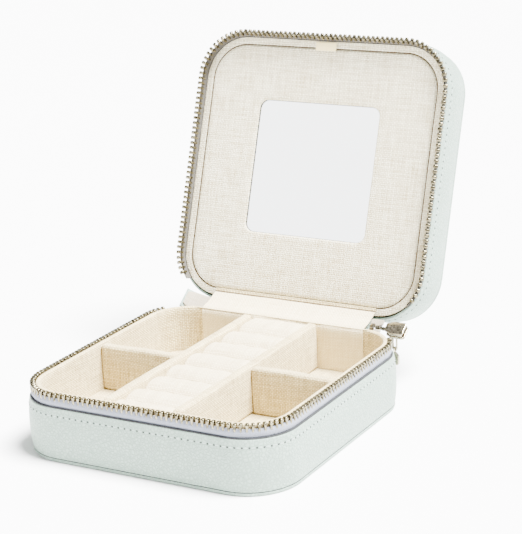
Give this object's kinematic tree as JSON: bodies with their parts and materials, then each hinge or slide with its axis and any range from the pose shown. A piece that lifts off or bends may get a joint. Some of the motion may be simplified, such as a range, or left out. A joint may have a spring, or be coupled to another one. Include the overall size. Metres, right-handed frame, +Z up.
{
  "type": "jewelry box",
  "caption": "Square zip-around travel jewelry box with leather shells, linen-lined compartments, a ring-roll section and a mirror panel in a lid that folds open on a two-crease spine.",
  "frame": {"origin": "centre of the base's underside, on the surface it rests on", "axes": "+X to the right, -Y to the front where the lid opens, +Z up"},
  "size_m": [0.1218, 0.1876, 0.144],
  "materials": {
    "leather": "pale mint pebbled leather",
    "linen": "cream woven linen",
    "tape": "blue-grey woven zip tape",
    "hinge_tape": "warm grey woven tape",
    "ribbon": "cream ribbon",
    "thread": "mint sewing thread",
    "teeth_metal": "antique nickel",
    "slider_metal": "polished nickel",
    "board": "greyboard",
    "foam": "soft foam",
    "mirror": "silvered glass"
  },
  "bodies": {
    "base": {"base_leather_wall": "leather", "base_bottom_panel": "leather", "base_board_tray": "board", "base_stitching": "thread", "base_zip_tape": "tape", "base_zip_teeth": "teeth_metal", "base_lining_wall": "linen", "base_floor_foam": "foam", "base_floor_lining": "linen", "ring_divider_left": "linen", "ring_divider_right": "linen", "cross_divider_left": "linen", "cross_divider_right": "linen", "ring_roll_1": "linen", "ring_roll_2": "linen", "ring_roll_3": "linen", "ring_roll_4": "linen", "ring_roll_5": "linen", "ring_roll_6": "linen", "ring_roll_7": "linen", "ring_roll_front_pad": "linen", "hinge_band_base": "linen"},
    "spine": {"spine_leather": "leather", "spine_lining": "hinge_tape", "spine_tape_left": "hinge_tape", "spine_tape_right": "hinge_tape", "zip_chain_end": "teeth_metal", "zip_end_stop": "slider_metal", "hinge_band_span": "linen"},
    "slider": {"zip_slider": "slider_metal"},
    "link": {"pull_link": "slider_metal"},
    "tab": {"pull_tab": "slider_metal"},
    "lid": {"lid_leather_wall": "leather", "lid_top_panel": "leather", "lid_board_tray": "board", "lid_stitching": "thread", "lid_zip_tape": "tape", "lid_zip_teeth": "teeth_metal", "lid_lining_frame": "linen", "lid_pocket_lining": "linen", "hinge_band_lid": "linen"},
    "mirror_panel": {"mirror_panel_linen": "linen", "mirror_frame_board": "board", "mirror_glass": "mirror", "mirror_backing_board": "board", "mirror_panel_back_linen": "linen", "mirror_ribbon_tab": "ribbon"}
  },
  "joints": [
    {"name": "spine_crease", "type": "hinge", "parent": "base", "child": "spine", "pos_m": [0, 0.06, 0.0228], "axis": [-1, 0, 0], "range_deg": [-55, 0], "deforming": ["hinge_band_span"]},
    {"name": "lid_crease", "type": "hinge", "parent": "spine", "child": "lid", "pos_m": [0, 0.06803, 0.02842], "axis": [-1, 0, 0], "range_deg": [-55, 0]},
    {"name": "mirror_panel_hinge", "type": "hinge", "parent": "lid", "child": "mirror_panel", "pos_m": [0, 0.06975, 0.03344], "axis": [1, 0, 0], "range_deg": [0, 75]},
    {"name": "slider_run", "type": "slide", "parent": "spine", "child": "slider", "axis": [-1, 0, 0], "range_m": [0, 0.0008]},
    {"name": "link_swing", "type": "hinge", "parent": "slider", "child": "link", "pos_m": [0.0496, 0.0656, 0.0236], "axis": [1, 0, 0], "range_deg": [-6, 40]},
    {"name": "tab_swing", "type": "hinge", "parent": "link", "child": "tab", "pos_m": [0.0496, 0.0656, 0.0176], "axis": [1, 0, 0], "range_deg": [-4, 45]}
  ],
  "couplings": [
    {"joint": "lid_crease", "follows": "spine_crease", "ratio": 1}
  ]
}
